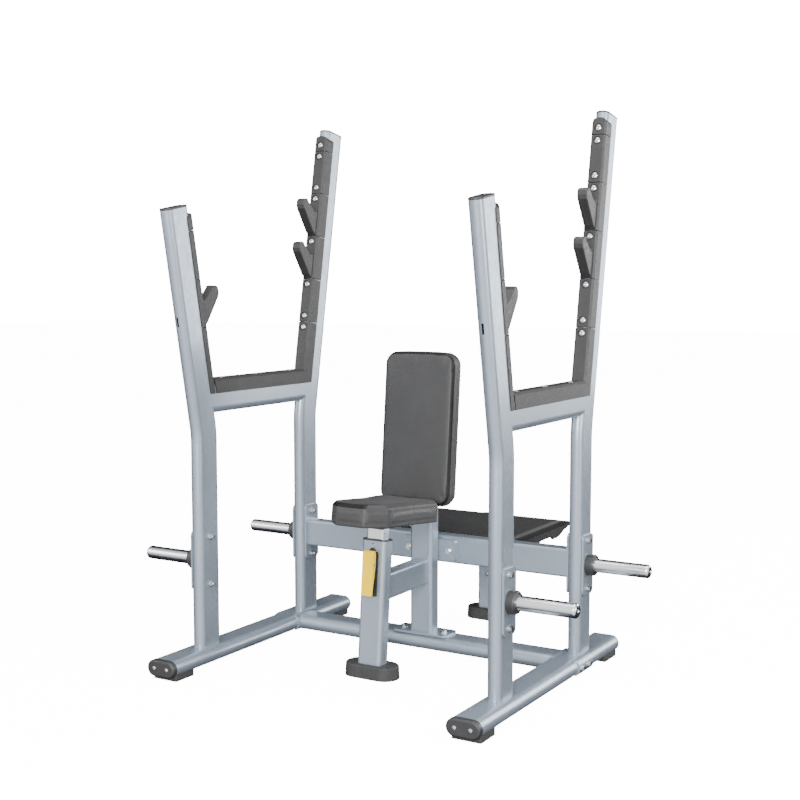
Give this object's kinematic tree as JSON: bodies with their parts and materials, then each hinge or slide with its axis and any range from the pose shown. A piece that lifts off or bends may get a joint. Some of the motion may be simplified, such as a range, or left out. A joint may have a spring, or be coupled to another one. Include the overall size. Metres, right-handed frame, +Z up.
{
  "type": "seated shoulder-press bench",
  "caption": "Seated shoulder-press bench with open side racks for a barbell, a height-adjustable seat, upright backrest, plate-storage horns and a rear spotter platform.",
  "frame": {"origin": "on the floor, under the middle of the whole machine", "axes": "+Z up; +X to the right of a person who stands in front and looks at the seat; -Y is the front, where a sitting user's feet are, and +Y the rear, where the platform is"},
  "size_m": [1.73, 1.4335, 2.0048],
  "materials": {
    "frame_paint": "satin metallic silver-blue powder coat",
    "wear_plastic": "fine-grained moulded plastic",
    "horn_chrome": "bright",
    "moulded_plastic": "moulded, slightly glossy",
    "shoe_rubber": "matt moulded rubber",
    "tube_chrome": "bright",
    "dark_paint": "satin black",
    "pad_leather": "fine-grained upholstery",
    "bright_steel": "zinc-bright",
    "lever_yellow": "glossy",
    "tread_dark": "ribbed non-slip surface"
  },
  "bodies": {
    "frame": {"backrest_board": "moulded_plastic", "backrest_bracket": "dark_paint", "backrest_pad": "pad_leather", "base_rail_left": "frame_paint", "base_rail_right": "frame_paint", "beam_end_plates": "frame_paint", "crossbar_left": "frame_paint", "crossbar_right": "frame_paint", "crossbar_strip_left": "wear_plastic", "crossbar_strip_right": "wear_plastic", "foot_pads": "shoe_rubber", "frame_bolts": "bright_steel", "front_hook_left": "wear_plastic", "front_hook_right": "wear_plastic", "front_post": "frame_paint", "front_shoe": "shoe_rubber", "front_upright_left": "frame_paint", "front_upright_right": "frame_paint", "front_upright_strip_left": "wear_plastic", "front_upright_strip_right": "wear_plastic", "horn_collars": "moulded_plastic", "horn_plate_front_left": "frame_paint", "horn_plate_front_right": "frame_paint", "horn_plate_rear_left": "frame_paint", "horn_plate_rear_right": "frame_paint", "lever_bracket": "dark_paint", "lever_pivot_pin": "bright_steel", "lever_spring": "bright_steel", "link_tube": "frame_paint", "lower_beam": "frame_paint", "lower_rear_hook_left": "wear_plastic", "lower_rear_hook_right": "wear_plastic", "platform_frame": "frame_paint", "platform_tread": "tread_dark", "post_bushing": "moulded_plastic", "rail_end_caps": "moulded_plastic", "rear_leg": "frame_paint", "rear_post": "frame_paint", "rear_shoe": "shoe_rubber", "rear_upright_left": "frame_paint", "rear_upright_right": "frame_paint", "rear_upright_strip_left": "wear_plastic", "rear_upright_strip_right": "wear_plastic", "saddle_brackets": "frame_paint", "small_screws": "bright_steel", "strip_bolts": "bright_steel", "upper_beam": "frame_paint", "upper_rear_hook_left": "wear_plastic", "upper_rear_hook_right": "wear_plastic", "upright_caps": "moulded_plastic", "weight_horn_front_left": "horn_chrome", "weight_horn_front_right": "horn_chrome", "weight_horn_rear_left": "horn_chrome", "weight_horn_rear_right": "horn_chrome"},
    "seat": {"seat_tube": "tube_chrome", "seat_plate": "dark_paint", "seat_pad": "pad_leather", "seat_screws": "bright_steel"},
    "lever": {"release_lever": "lever_yellow"},
    "lock_pin": {"lock_pin": "bright_steel"}
  },
  "joints": [
    {"name": "seat_height", "type": "slide", "parent": "frame", "child": "seat", "axis": [0, 0.0872, 0.9962], "range_m": [-0.025, 0.125]},
    {"name": "lever_pull", "type": "hinge", "parent": "frame", "child": "lever", "pos_m": [0, -0.29359, 0.40691], "axis": [-1, 0, 0], "range_deg": [0, 12], "stiffness_Nm_per_rad": 1.5, "springref_deg": -17.19},
    {"name": "lock_pin_slide", "type": "slide", "parent": "frame", "child": "lock_pin", "axis": [0, -0.9962, 0.0872], "range_m": [0, 0.0095]}
  ],
  "couplings": [
    {"joint": "lock_pin_slide", "follows": "lever_pull", "m_per_rad": 0.045}
  ]
}
